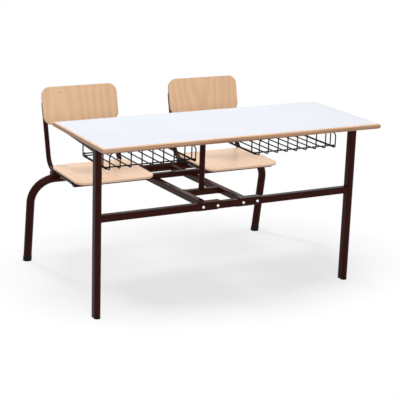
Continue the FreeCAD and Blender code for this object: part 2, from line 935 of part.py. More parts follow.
def back_board(side, x):
    """Ply backrest in front of the hoop, with rivets above and screws from behind below."""
    half = s.back_width / 2
    front = -(s.hoop_tube / 2 + s.back_thickness)
    outline = rectangle(-half, half, -s.back_below, s.back_above)
    board = extrude(
        f"{side}_back_board", "XZ_Plane", outline, round_all(s.back_corner), s.back_thickness
    )
    soften(board, s.board_edge, lies_on_face)
    place(board, ZERO, -(s.hoop_tube / 2), ZERO)
    rivet_bore = s.rivet_diameter + s.hole_clearance
    screw_bore = s.screw_diameter + s.hole_clearance
    rivets = []
    screws = []
    holes = []
    for i, hand in enumerate((-0.5, 0.5)):
        rivet_x = s.rivet_spacing * hand
        bulb_y = s.hoop_wall * 2 - s.hoop_tube / 2
        length = bulb_y - front
        rivets.append(
            fuse(
                f"{side}_rivet{i}",
                [
                    dome(f"{side}_rivet{i}_head", s.rivet_head, s.rivet_dome, rivet_x, front, ZERO),
                    rod(f"{side}_rivet{i}_shank", s.rivet_diameter, length, rivet_x, front, ZERO, "y"),
                    rod(f"{side}_rivet{i}_bulb", s.rivet_bulb, s.rivet_bulb / 2, rivet_x, bulb_y, ZERO, "y"),
                ],
            )
        )
        start = front - s.overrun
        holes.append(rod(f"{side}_rivet{i}_hole", rivet_bore, length + s.overrun, rivet_x, start, ZERO, "y"))
        screw_x = s.hoop_width * hand
        drop = -s.back_screw_drop
        grip = s.hoop_tube + s.seat_screw_grip
        tip = s.hoop_tube / 2 - grip
        screws.append(
            fuse(
                f"{side}_back_screw{i}",
                [
                    rod(f"{side}_back_screw{i}_shank", s.screw_diameter, grip, screw_x, tip, drop, "y"),
                    rod(
                        f"{side}_back_screw{i}_head",
                        s.screw_head,
                        s.screw_head_height,
                        screw_x,
                        s.hoop_tube / 2,
                        drop,
                        "y",
                    ),
                ],
            )
        )
        holes.append(
            rod(
                f"{side}_back_screw{i}_hole",
                screw_bore,
                grip + s.hole_clearance + s.overrun,
                screw_x,
                tip - s.hole_clearance,
                drop,
                "y",
            )
        )
    drill = group(f"{side}_back_holes", holes)
    on_back(node(cut(f"{side}_backrest", board, drill), f"{side}_backrest"), x)
    on_back(node(group(f"{side}_backrest_rivets", rivets), f"{side}_backrest_rivets"), x)
    on_back(node(group(f"{side}_backrest_screws", screws), f"{side}_backrest_screws"), x)
    doc.recompute()
    frame = back_frame(x).toMatrix()
    return [hole.Shape.transformGeometry(frame) for hole in holes]


def saddles(side, x):
    """Blocks that carry the hoop's seat rails on the arch."""
    y = depth_at(s.arch_setback)
    axis_z = arch_z + s.arch_tube / 2 + s.saddle_thickness + s.hoop_tube / 2 / cosine(seat_angle)
    bottom = arch_z + s.arch_tube / 4
    height = axis_z - bottom
    length = s.arch_tube + s.hoop_tube
    items = []
    for i, hand in enumerate((-0.5, 0.5)):
        rail_x = x + s.hoop_width * hand
        block = box(
            f"{side}_saddle{i}_block", s.saddle_length, s.saddle_width, height, rail_x, y, bottom
        )
        arch = rod(f"{side}_saddle{i}_arch", s.arch_tube, length, rail_x - length / 2, y, arch_z, "x")
        tube = rod(f"{side}_saddle{i}_rail", s.hoop_tube, length, ZERO, ZERO, ZERO)
        turn(tube, X_AXIS, seat_angle - QUARTER_TURN)
        place(
            tube,
            rail_x,
            y - cosine(seat_angle) * length / 2,
            axis_z - sine(seat_angle) * length / 2,
        )
        items.append(cut(f"{side}_saddle{i}", block, group(f"{side}_saddle{i}_tubes", [arch, tube])))
    node(group(f"{side}_saddles", items), f"{side}_saddles")


def chair(side, sign):
    x = s.chair_offset * sign
    holes = seat_board(side, x) + back_board(side, x)
    hoop(side, x, holes)
    saddles(side, x)


# Wire baskets

def wire_section(sketch):
    return ring(sketch, s.wire_diameter)


def basket_frame(side, x, half_run, front, rear, bottom):
    """One wire: rear lip, bottom, front, along the rim, and back the same way."""
    rim = bottom + s.basket_rim
    lip = bottom + s.basket_lip
    turns = [(rear, lip), (rear, bottom), (front, bottom), (front, rim)]
    points = [FreeCAD.Vector((x - half_run).value, y.value, z.value) for y, z in turns]
    points += [FreeCAD.Vector((x + half_run).value, y.value, z.value) for y, z in reversed(turns)]
    bend = s.wire_bend.value
    corner = s.rim_bend.value
    item = doc.addObject("Part::Feature", f"{side}_frame_wire")
    item.Shape = pipe_solid(
        bent_wire(points, [bend, bend, corner, corner, bend, bend]), s.wire_diameter.value
    )
    return item


def basket(side, sign):
    outer_end = leg_x - s.basket_leg_gap
    x = (outer_end + s.basket_middle_gap) * (sign / 2)
    top = under_z - s.tab_thickness
    bottom = top - s.basket_height
    end_x = (outer_end - s.basket_middle_gap) / 2
    half_run = end_x - s.basket_end_gap
    pitch = half_run * 2 / (LONG_WIRES - 1)
    front = depth_at(s.basket_setback)
    rear = depth_at(s.table_depth - s.basket_rear_gap)
    span = rear - front

    wires = [basket_frame(side, x, half_run, front, rear, bottom)]
    behind = front + s.wire_diameter
    bends = {1: s.wire_bend, 2: s.wire_bend}
    corners = [
        (ZERO, ZERO),
        (ZERO, -s.basket_rim),
        (rear - behind, -s.basket_rim),
        (rear - behind, s.basket_lip - s.basket_rim),
    ]
    for i in range(1, LONG_WIRES - 1):
        wire = sweep(f"{side}_wire{i}", "XY_Plane", wire_section, "YZ_Plane", corners, bends)
        wires.append(place(wire, x - half_run + pitch * i, behind, bottom + s.basket_rim))
    node(group(f"{side}_basket_wires", wires), f"{side}_basket_wires")

    frames = []
    tabs = []
    front_wire = front + span * FRONT_WIRE_SHARE
    hanger_y = front + s.basket_end_setback
    reach = rear - front_wire + s.wire_diameter
    corners = [(ZERO, ZERO), (ZERO, -s.basket_height), (-reach, -s.basket_height)]
    for i, hand in enumerate((-1, 1)):
        name = f"{side}_end{i}"
        place_x = x + end_x * hand
        bent = sweep(name + "_wire", "XY_Plane", wire_section, "YZ_Plane", corners, {1: s.wire_bend})
        place(bent, place_x, rear, top)
        hanger = rod(name + "_hanger", s.wire_diameter, s.basket_height, place_x, hanger_y, bottom)
        frames.append(fuse(name, [bent, hanger]))
        for j, y in enumerate((rear, hanger_y)):
            tabs.append(tab(f"{side}_tab{i}{j}", place_x, hand, y, top))
    node(group(f"{side}_basket_ends", frames), f"{side}_basket_ends")
    node(group(f"{side}_basket_tabs", tabs), f"{side}_basket_tabs")

    length = end_x * 2 + s.wire_diameter
    start = x - length / 2
    lower = bottom + s.wire_diameter
    places = [
        (front_wire, lower),
        (front + span * REAR_WIRE_SHARE, lower),
        (rear - s.wire_diameter, bottom + s.basket_lip - s.wire_diameter / 2),
    ]
    cross = [
        rod(f"{side}_cross{i}", s.wire_diameter, length, start, y, z, "x") for i, (y, z) in enumerate(places)
    ]
    node(group(f"{side}_basket_cross_wires", cross), f"{side}_basket_cross_wires")


def tab(name, x, hand, y, z):
    """A flat tab on an end frame's upper tip, screwed to the top."""
    middle = x - s.tab_length * (hand * TAB_SCREW_SHARE)
    blank = box(name + "_blank", s.tab_length, s.tab_width, s.tab_thickness, middle, y, z)
    hole_x = x - s.tab_length * (hand * TAB_SCREW_SHARE * 2)
    hole = basket_screws.add(hole_x, y, z, s.tab_thickness + s.screw_grip)
    return cut(name, blank, hole)


# Top

def strip(name, run, angle, x, y):
    """An edge strip with its outer face rounded and its ends mitred."""
    outline = [
        (ZERO, ZERO),
        (s.strip_width, ZERO),
        (s.strip_width, s.table_thickness),
        (ZERO, s.table_thickness),
    ]
    body = extrude(name, "YZ_Plane", outline, {0: s.strip_radius, 3: s.strip_radius}, run)
    mitre = new_sketch(body, name + "_mitre", "XY_Plane")
    for tip, foot in ((ZERO, s.strip_width), (run, run - s.strip_width)):
        trace(mitre, [(tip, ZERO), (foot, s.strip_width), (tip, s.strip_width)], {}, True)
    doc.recompute()
    before = body.Shape.Volume
    pocket = body.newObject("PartDesign::Pocket", name + "_mitres")
    pocket.Profile = mitre
    pocket.Type = "ThroughAll"
    pocket.Reversed = True
    body.Tip = pocket
    turn(body, FreeCAD.Vector(0, 0, 1), angle)
    place(body, x, y, under_z)
    doc.recompute()
    if body.Shape.Volume >= before:
        raise RuntimeError(name + " has no mitres")
    node(body, name)


def table_top():
    length = s.table_length - s.strip_width * 2
    depth = s.table_depth - s.strip_width * 2
    y = depth_at(s.table_depth / 2)
    skin = s.laminate_thickness
    drill = group("table_holes", table_screws.holes + basket_screws.holes)
    core = box("table_core_blank", length, depth, s.table_thickness - skin * 2, ZERO, y, under_z + skin)
    node(cut("table_core", core, drill), "table_core")
    backing = box("table_backing_blank", length, depth, skin, ZERO, y, under_z)
    node(cut("table_backing", backing, drill), "table_backing")
    node(box("table_laminate", length, depth, skin, ZERO, y, s.table_height - skin), "table_laminate")
    half = s.table_length / 2
    front = depth_at(ZERO)
    back = depth_at(s.table_depth)
    strip("front_edge", s.table_length, ZERO, -half, front)
    strip("back_edge", s.table_length, QUARTER_TURN * 2, half, back)
    strip("left_edge", s.table_depth, -QUARTER_TURN, -half, back)
    strip("right_edge", s.table_depth, QUARTER_TURN, half, front)


def check_and_write():
    doc.recompute()
    failed = [item.Name for item in doc.Objects if {"Invalid", "Error"} & set(item.State)]
    if failed:
        raise RuntimeError("failed objects: " + ", ".join(failed))
    for item in nodes:
        if item.Shape.isNull() or not item.Shape.isValid() or not item.Shape.Solids:
            raise RuntimeError("bad shape: " + item.Label)
    os.makedirs("parts", exist_ok=True)
    for item in nodes:
        item.Shape.exportStep(f"parts/{item.Label}.step")


bar_drill = crossbar()
for side_name, side_sign in SIDES:
    leg(side_name, side_sign)
    arm(side_name, side_sign)
    rail(side_name, side_sign, bar_drill)
    chair(side_name, side_sign)
    basket(side_name, side_sign)
member_and_post()
seat_tube()
rear_arch()
table_top()
table_screws.finish()
basket_screws.finish()
check_and_write()
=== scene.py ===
import math
from collections import namedtuple
import bmesh
import bpy
from mathutils import Matrix, Vector


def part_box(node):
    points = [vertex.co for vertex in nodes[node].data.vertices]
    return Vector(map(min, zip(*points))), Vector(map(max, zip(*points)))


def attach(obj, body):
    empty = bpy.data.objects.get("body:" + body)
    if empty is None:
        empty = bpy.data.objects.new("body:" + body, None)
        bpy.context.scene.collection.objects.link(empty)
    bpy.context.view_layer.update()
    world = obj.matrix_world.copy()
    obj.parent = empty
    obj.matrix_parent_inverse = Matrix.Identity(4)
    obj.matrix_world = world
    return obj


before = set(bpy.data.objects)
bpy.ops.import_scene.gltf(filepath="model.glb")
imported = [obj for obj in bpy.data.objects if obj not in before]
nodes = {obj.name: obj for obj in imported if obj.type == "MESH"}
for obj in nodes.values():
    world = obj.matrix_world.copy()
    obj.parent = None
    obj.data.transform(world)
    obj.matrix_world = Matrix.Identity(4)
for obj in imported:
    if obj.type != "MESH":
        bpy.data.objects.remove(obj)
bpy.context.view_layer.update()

scene = bpy.context.scene
SIDES = (("left", -1), ("right", 1))
X_AXIS = Vector((1, 0, 0))
Y_AXIS = Vector((0, 1, 0))
Z_AXIS = Vector((0, 0, 1))
WHITE = (1, 1, 1, 1)

# sizes that the wood follows, in metres
HALF_TOP = 0.655
EDGE_BAND = 0.022
# height of the painted highlight along the edge band's upper rounding
EDGE_PAINTED_HIGHLIGHT = 0.005
BOARD = 0.010
LAYERS = 7
BACK_LEAN = math.radians(14)

# how much each part of the wood's figure darkens it
RING_TONE = 0.42
EDGE_RING_TONE = 0.12
DRIFT_TONE = 0.55
FIBRE_TONE = 0.5
FIBRE_BASE = -0.30
FLECK_TONE = 0.22
FLECK_SHADE = 0.55
# painted light on the edge band: a painted highlight along its upper rounding, and painted shade
# on its face and lower half
PAINTED_HIGHLIGHT_TONE = -0.55
FACE_TONE = 0.37
PAINTED_SHADE_TONE = 0.25

# where a plain noise mostly lies
NOISE_SPAN = (0.3, 0.7)

# weld beads and broken edges, in metres
BEAD_RADIUS = 0.0021
BEAD_STEP = 0.0009
BEAD_SIDES = 8
BEAD_TAPER = 0.06
RIPPLE, RIPPLE_PACE = 0.16, 1.9
SWAY, SWAY_PACE = 0.07, 0.71
TUBE_POINTS = 24
BOX_CORNER = 0.0035
CORNER_POINTS = 4
RAIL_HEIGHT = 0.028
HOOP_RADIUS = 0.011
ARM_WELD_INSET = 0.0088
ARM_WELD_FOOT = 0.001
ARM_WELD_HEAD = 0.002
SEAT_WELD_INSET = 0.003
BROKEN_EDGE = 0.0006

# floor and surroundings: the floor is plain white away from the desk's shadow
FLOOR_REACH = 40.0
SHADOW_CENTRE = (0.12, 0.06, 0)
SHADOW_STRETCH = (1.08, 1.42, 0)
SHADOW_SPAN = (0.70, 1.16)
SHADOW_WHITE = 0.65
SKY_LIGHT = 0.30

# camera at the photograph's angle
AZIMUTH = math.radians(-28.68)
ELEVATION = math.radians(15.97)
ROLL = math.radians(1.91)
DISTANCE = 4.976
TARGET = Vector((-0.2199, -0.5165, 0.4992))
LENS = 110.42
SENSOR = 36.0
CLIP_END = 200

Board = namedtuple("Board", "origin across along face")
Wood = namedtuple("Wood", "pale deep")
Rim = namedtuple("Rim", "start full tone")


class Nodes:
    """A node tree with short calls to add nodes to it."""

    def __init__(self, tree):
        self.tree = tree

    def feed(self, socket, value):
        if isinstance(value, bpy.types.NodeSocket):
            self.tree.links.new(value, socket)
        elif value is not None:
            socket.default_value = value

    def add(self, kind, inputs=None, **settings):
        node = self.tree.nodes.new(kind)
        for key, value in settings.items():
            setattr(node, key, value)
        for key, value in (inputs or {}).items():
            self.feed(node.inputs[key], value)
        return node

    def math(self, operation, a, b=None, c=None):
        node = self.add("ShaderNodeMath", {0: a}, operation=operation)
        self.feed(node.inputs[1], b)
        self.feed(node.inputs[2], c)
        return node.outputs[0]

    def seen(self):
        """1 for rays from the camera, from mirrors and through glass, and 0 for the others."""
        rays = self.add("ShaderNodeLightPath").outputs
        indirect = self.math("ADD", rays["Is Glossy Ray"], rays["Is Transmission Ray"])
        return self.math("MINIMUM", self.math("ADD", rays["Is Camera Ray"], indirect), 1.0)

    def blend(self, share, a, b):
        """One shader turning into another, for the tree's output."""
        return self.add("ShaderNodeMixShader", {0: share, 1: a, 2: b}).outputs[0]


class Shader(Nodes):
    """A material with a Principled surface."""

    def __init__(self, name):
        self.material = bpy.data.materials.new(name)
        self.material.use_nodes = True
        super().__init__(self.material.node_tree)
        self.surface = self.tree.nodes["Principled BSDF"]

    def set(self, **sockets):
        for key, value in sockets.items():
            self.feed(self.surface.inputs[key.replace("_", " ")], value)

    def vector(self, operation, a, b):
        node = self.add("ShaderNodeVectorMath", {0: a, 1: b}, operation=operation)
        return node.outputs["Value" if operation == "DOT_PRODUCT" else "Vector"]

    def mix(self, share, a, b):
        node = self.add("ShaderNodeMix", data_type="RGBA")
        self.feed(node.inputs[0], share)
        self.feed(node.inputs[6], a)
        self.feed(node.inputs[7], b)
        return node.outputs[2]

    def between(self, value, low, high, out_low=0.0, out_high=1.0):
        """A value's place between two limits, as a value between two others."""
        spans = {"From Min": low, "From Max": high, "To Min": out_low, "To Max": out_high}
        return self.add("ShaderNodeMapRange", {"Value": value, **spans}).outputs["Result"]

    def place(self):
        return self.add("ShaderNodeTexCoord").outputs["Object"]

    def local(self, origin, u, v, w):
        """Metres from an origin along three directions of the object's frame."""
        offset = self.vector("SUBTRACT", self.place(), tuple(origin))
        parts = [self.vector("DOT_PRODUCT", offset, tuple(axis)) for axis in (u, v, w)]
        return self.add("ShaderNodeCombineXYZ", dict(enumerate(parts))).outputs[0]

    def part(self, place, axis):
        return self.add("ShaderNodeSeparateXYZ", {0: place}).outputs[axis]

    def stretch(self, place, x, y, z):
        return self.vector("MULTIPLY", place, (x, y, z))

    def noise(self, place, scale, detail=2.0, roughness=0.5):
        keys = {"Vector": place, "Scale": scale, "Detail": detail, "Roughness": roughness}
        return self.add("ShaderNodeTexNoise", keys).outputs[0]

    def bump(self, height, strength, distance):
        keys = {"Strength": strength, "Distance": distance, "Height": height}
        self.set(Normal=self.add("ShaderNodeBump", keys).outputs[0])


def rgb(r, g, b):
    """A linear colour from 8-bit display values."""
    channels = []
    for value in (r / 255, g / 255, b / 255):
        channels.append(value / 12.92 if value <= 0.04045 else ((value + 0.055) / 1.055) ** 2.4)
    return (*channels, 1.0)


def shade(colour, share):
    """A colour made darker or lighter by a share."""
    return (*[share * channel for channel in colour[:3]], 1.0)


def beech(name, board, wood, swirl, pull, rim=None):
    """Lacquered beech: soft figure, fibre streaks and flecks.

    A board with a rim shows its ply layers there. One without is an edge band, which is
    paler at its upper rounding, a painted highlight, and darker on its face and below, painted
    shade.
    """
    m = Shader(name)
    spot = m.local(*board)
    drift = m.noise(m.stretch(spot, 1, 0.18, 0), scale=11, detail=2)
    rings = m.add(
        "ShaderNodeTexWave",
        {
            "Vector": m.vector("ADD", m.stretch(spot, 1, pull, 0), swirl),
            "Scale": 9.0,
            "Distortion": 5.5,
            "Detail": 2.0,
            "Detail Scale": 1.6,
            "Detail Roughness": 0.55,
        },
        wave_type="RINGS",
        rings_direction="SPHERICAL",
    ).outputs["Fac"]
    fibre = m.noise(m.stretch(spot, 1, 0.02, 1), scale=420, detail=3, roughness=0.6)
    speckle = m.noise(m.stretch(spot, 1, 0.11, 1), scale=620, detail=1)
    fleck = m.between(speckle, 0.62, 0.72)
    ring_tone = RING_TONE if rim else EDGE_RING_TONE
    tone = m.math("MULTIPLY_ADD", rings, ring_tone, m.math("MULTIPLY", drift, DRIFT_TONE))
    tone = m.math("ADD", tone, m.math("MULTIPLY_ADD", fibre, FIBRE_TONE, FIBRE_BASE))
    if not rim:
        # edge band: painted highlight along the upper rounding, painted shade on the face and
        # lower half
        height = m.part(spot, 0)
        painted_highlight = m.between(height, -EDGE_PAINTED_HIGHLIGHT, -0.2 * EDGE_PAINTED_HIGHLIGHT, FACE_TONE, PAINTED_HIGHLIGHT_TONE)
        painted_shade = m.between(height, -EDGE_BAND, -0.5 * EDGE_BAND, PAINTED_SHADE_TONE, 0.0)
        tone = m.math("ADD", tone, m.math("ADD", painted_highlight, painted_shade))
    colour = m.mix(tone, wood.pale, wood.deep)
    colour = m.mix(m.math("MULTIPLY", fleck, FLECK_TONE), colour, shade(wood.deep, FLECK_SHADE))
    if rim:
        normal = m.add("ShaderNodeNewGeometry").outputs["Normal"]
        facing = m.math("ABSOLUTE", m.vector("DOT_PRODUCT", normal, tuple(board.face)))
        turned = m.between(facing, rim.start, rim.full)
        layer = m.math("MULTIPLY", m.part(spot, 2), LAYERS / BOARD)
        odd = m.between(m.math("PINGPONG", layer, 1.0), 0.42, 0.58)
        end_grain = m.noise(m.stretch(spot, 1, 1, 0.4), scale=900, detail=2)
        # rim.tone darkens the ply layers; on the backrests it is painted shade
        light_layer = m.mix(
            end_grain, shade(wood.pale, 1.02 * rim.tone), shade(wood.pale, rim.tone)
        )
        dark_layer = m.mix(
            end_grain, shade(wood.deep, rim.tone), shade(wood.deep, 0.62 * rim.tone)
        )
        colour = m.mix(turned, colour, m.mix(odd, light_layer, dark_layer))
    m.set(Base_Color=colour, Roughness=m.between(fibre, *NOISE_SPAN, 0.34, 0.46))
    m.set(Specular_IOR_Level=0.40 if rim else 0.22, Coat_Weight=0.20, Coat_Roughness=0.25)
    grooves = m.math("SUBTRACT", fibre, m.math("MULTIPLY", fleck, 0.6))
    m.bump(grooves, strength=0.10, distance=0.0004)
    return m.material


def powder_coat(name, dark, light, rough, specular, tint):
    """Stoved powder paint with a fine orange peel."""
    m = Shader(name)
    spot = m.place()
    cloud = m.noise(spot, scale=7, detail=3)
    peel = m.noise(spot, scale=520, detail=2)
    m.set(Base_Color=m.mix(cloud, dark, light))
    m.set(Roughness=m.between(cloud, *NOISE_SPAN, rough - 0.04, rough + 0.05))
    m.set(Specular_IOR_Level=specular, Specular_Tint=tint)
    m.bump(peel, strength=0.09, distance=0.0005)
    return m.material


def moulded_plastic(name, dark, light):
    """Black moulded plastic with an eroded grain and scuffs."""
    m = Shader(name)
    spot = m.place()
    grain = m.noise(spot, scale=1500, detail=2)
    scuff = m.between(m.noise(spot, scale=60, detail=4, roughness=0.7), 0.52, 0.75)
    m.set(Base_Color=m.mix(scuff, dark, light), Roughness=m.between(scuff, 0, 1, 0.46, 0.62))
    m.set(Specular_IOR_Level=0.12)
    m.bump(grain, strength=0.12, distance=0.0004)
    return m.material


def plated_metal(name, colour, dull, rough, brushed):
    """Plated or plain steel with faint drawing lines."""
    m = Shader(name)
    spot = m.place()
    lines = m.noise(m.stretch(spot, 1, 0.1, 1), scale=1400, detail=2)
    haze = m.noise(spot, scale=180, detail=3)
    m.set(Base_Color=m.mix(haze, colour, dull), Metallic=1.0)
    m.set(Roughness=m.between(lines, *NOISE_SPAN, rough, rough + brushed))
    m.bump(lines, strength=0.05, distance=0.0002)
    return m.material


def laminate(name, base, cloudy, rough):
    """High-pressure laminate: an even pale sheet with a fine pearl texture."""
    m = Shader(name)
    spot = m.place()
    cloud = m.noise(spot, scale=5, detail=2)
    cells = m.add("ShaderNodeTexVoronoi", {"Vector": spot, "Scale": 900.0})
    pearl = cells.outputs["Distance"]
    m.set(Base_Color=m.mix(m.between(cloud, 0.35, 0.65), base, cloudy))
    m.set(Roughness=m.between(pearl, 0.0, 0.7, rough, rough + 0.08), Specular_IOR_Level=0.4)
    m.bump(pearl, strength=0.06, distance=0.0002)
    return m.material


def chipboard(name, pale, deep):
    """Pressed wood chips."""
    m = Shader(name)
    spot = m.place()
    flat = m.stretch(spot, 1, 0.4, 2.5)
    chips = m.add("ShaderNodeTexVoronoi", {"Vector": flat, "Scale": 260.0}).outputs
    grain = m.noise(spot, scale=500, detail=3)
    chip = m.add("ShaderNodeSeparateColor", {0: chips["Color"]}).outputs[0]
    tone = m.math("MULTIPLY_ADD", grain, 0.4, m.math("MULTIPLY", chip, 0.6))
    m.set(Base_Color=m.mix(tone, pale, deep), Roughness=0.8)
    m.bump(chips["Distance"], strength=0.3, distance=0.0008)
    return m.material


def dress(material, *names):
    for name in names:
        for slot in nodes[name].material_slots:
            slot.material = material


# seats and backrests are the same beech; the seats' paler colour is painted light, as the seats
# face up towards the lamps
SEAT_WOOD = Wood(pale=rgb(254, 219, 189), deep=rgb(247, 203, 165))
SEAT_RIM = Rim(start=0.72, full=0.45, tone=1.0)
SEAT_PULL = 0.085
BACK_WOOD = Wood(pale=rgb(244, 204, 166), deep=rgb(226, 181, 141))
# the backrests' ply rims are darkened to 0.78 of the wood: painted shade
BACK_RIM = Rim(start=0.97, full=0.80, tone=0.78)
# the band is a darker beech than the boards; its pale and deep colours are stretched wide so the
# painted highlight and painted shade on it reach them
EDGE_WOOD = Wood(pale=rgb(246, 206, 170), deep=rgb(132, 80, 44))
EDGE_SWIRL, EDGE_PULL = (0.1, 0, 0), 0.05

brown = powder_coat(
    "brown_powder_coat",
    dark=(0.030, 0.0070, 0.0052, 1),
    light=(0.041, 0.0098, 0.0074, 1),
    rough=0.22,
    specular=0.07,
    tint=(1, 0.6, 0.52, 1),
)
black_wire = powder_coat(
    "black_powder_coat",
    dark=(0.003, 0.0025, 0.0025, 1),
    light=(0.006, 0.005, 0.005, 1),
    rough=0.26,
    specular=0.04,
    tint=WHITE,
)
black = moulded_plastic(
    "black_plastic", dark=(0.005, 0.0045, 0.0045, 1), light=(0.011, 0.010, 0.010, 1)
)
chrome = plated_metal(
    "bright_chrome",
    colour=(0.86, 0.86, 0.87, 1),
    dull=(0.74, 0.75, 0.77, 1),
    rough=0.10,
    brushed=0.06,
)
steel = plated_metal(
    "rivet_steel",
    colour=(0.60, 0.48, 0.37, 1),
    dull=(0.49, 0.39, 0.30, 1),
    rough=0.48,
    brushed=0.10,
)
zinc = plated_metal(
    "zinc_plate",
    colour=(0.62, 0.63, 0.66, 1),
    dull=(0.48, 0.49, 0.52, 1),
    rough=0.30,
    brushed=0.12,
)
white = laminate("white_laminate", rgb(239, 242, 250), rgb(235, 239, 248), rough=0.36)
under = laminate("backing_sheet", rgb(214, 212, 206), rgb(206, 204, 198), rough=0.5)
core = chipboard("chipboard", rgb(205, 170, 125), rgb(140, 102, 66))

dress(white, "table_laminate")
dress(under, "table_backing")
dress(core, "table_core")
dress(chrome, "crossbar_bolts")
dress(zinc, "table_screws", "basket_screws", "crossbar_nuts")
dress(black, "seat_tube_plugs")
dress(brown, "crossbar", "rail_member", "centre_post", "post_plate", "seat_tube", "rear_arch")
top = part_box("table_laminate")[1].z
back_up = Vector((0, math.sin(BACK_LEAN), math.cos(BACK_LEAN)))
back_front = Vector((0, -math.cos(BACK_LEAN), math.sin(BACK_LEAN)))
for side, sign in SIDES:
    for name in ("leg", "arm", "rail", "rail_bracket", "hoop", "saddles"):
        dress(brown, f"{side}_{name}")
    for name in ("wires", "cross_wires", "ends", "tabs"):
        dress(black_wire, f"{side}_basket_{name}")
    dress(black, f"{side}_foot", f"{side}_arch_cap")
    dress(steel, f"{side}_backrest_rivets")
    dress(zinc, f"{side}_seat_screws", f"{side}_backrest_screws")

    low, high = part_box(f"{side}_seat")
    rear = Vector(((low.x + high.x) / 2, high.y, high.z - BOARD))
    board = Board(rear, X_AXIS, Y_AXIS, Z_AXIS)
    swirl = (0.03 * sign, 0.05, 0)
    seat = beech(f"{side}_seat_beech", board, SEAT_WOOD, swirl, SEAT_PULL, SEAT_RIM)
    dress(seat, f"{side}_seat")

    low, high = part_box(f"{side}_backrest")
    head = Vector(((low.x + high.x) / 2, high.y, high.z))
    board = Board(head, X_AXIS, back_up, back_front)
    swirl = (0.06 - 0.05 * sign, 0.024 - 0.046 * sign, 0)
    pull = 0.15 + 0.07 * sign
    backrest = beech(f"{side}_back_beech", board, BACK_WOOD, swirl, pull, BACK_RIM)
    dress(backrest, f"{side}_backrest")

    board = Board((HALF_TOP * sign, 0, top), Z_AXIS, Y_AXIS, X_AXIS)
    edge = beech(f"{side}_edge_beech", board, EDGE_WOOD, EDGE_SWIRL, EDGE_PULL)
    dress(edge, f"{side}_edge")
board = Board((0, 0, top), Z_AXIS, X_AXIS, Y_AXIS)
long_edge = beech("long_edge_beech", board, EDGE_WOOD, EDGE_SWIRL, EDGE_PULL)
dress(long_edge, "front_edge", "back_edge")


def bead(name, path, closed=True):
    """A rippled weld bead along a path of points, tapered at its ends when open."""
    steps = []
    count = len(path) if closed else len(path) - 1
    for i in range(count):
        start, finish = path[i], path[(i + 1) % len(path)]
        pieces = max(2, int((finish - start).length / BEAD_STEP))
        steps += [start.lerp(finish, k / pieces) for k in range(pieces)]
    if not closed:
        steps.append(path[-1])
    last = len(steps) - 1
    form = bmesh.new()
    rings = []
    for i, point in enumerate(steps):
        ahead = steps[(i + 1) % len(steps)] if closed else steps[min(i + 1, last)]
        behind = steps[i - 1] if closed or i else point
        run = (ahead - behind).normalized()
        side = run.orthogonal().normalized()
        other = run.cross(side)
        wave = 1 + RIPPLE * math.sin(i * RIPPLE_PACE) + SWAY * math.sin(i * SWAY_PACE)
        size = BEAD_RADIUS * wave
        if not closed:
            size *= math.sin(math.pi * (BEAD_TAPER + (1 - 2 * BEAD_TAPER) * i / last))
        ring = []
        for k in range(BEAD_SIDES):
            angle = k * math.tau / BEAD_SIDES
            out = side * math.cos(angle) + other * math.sin(angle)
            ring.append(form.verts.new(point + out * size))
        rings.append(ring)
    if closed:
        pairs = zip(rings, rings[1:] + rings[:1])
    else:
        pairs = zip(rings, rings[1:])
        form.faces.new(rings[0])
        form.faces.new(rings[-1])
    for one, two in pairs:
        shift = min(range(BEAD_SIDES), key=lambda k: (two[k].co - one[0].co).length)
        two = two[shift:] + two[:shift]
        for k in range(BEAD_SIDES):
            after = (k + 1) % BEAD_SIDES
            form.faces.new((one[k], one[after], two[after], two[k]))
    bmesh.ops.recalc_face_normals(form, faces=form.faces)
    for face in form.faces:
        face.smooth = True
    mesh = bpy.data.meshes.new(name)
    form.to_mesh(mesh)
    form.free()
    mesh.materials.append(brown)
    piece = bpy.data.objects.new(name, mesh)
    scene.collection.objects.link(piece)
    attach(piece, "root")


def around_box(low, high, axis, level):
    """A rounded rectangle around a tube's end, square to an axis."""
    u, v = [i for i in range(3) if i != axis]
    points = []
    for cu, cv, first in ((1, 1, 0), (-1, 1, 90), (-1, -1, 180), (1, -1, 270)):
        for part in range(CORNER_POINTS):
            angle = math.radians(first + part * 90 / (CORNER_POINTS - 1))
            point = Vector()
            point[axis] = level
            point[u] = (high if cu > 0 else low)[u] + BOX_CORNER * (math.cos(angle) - cu)
            point[v] = (high if cv > 0 else low)[v] + BOX_CORNER * (math.sin(angle) - cv)
            points.append(point)
    return points


def around_tube(centre, radius, axis):
    """A circle around a tube's end, square to an axis."""
    u, v = [i for i in range(3) if i != axis]
    points = []
    for i in range(TUBE_POINTS):
        angle = i * math.tau / TUBE_POINTS
        point = Vector(centre)
        point[u] += radius * math.cos(angle)
        point[v] += radius * math.sin(angle)
        points.append(point)
    return points


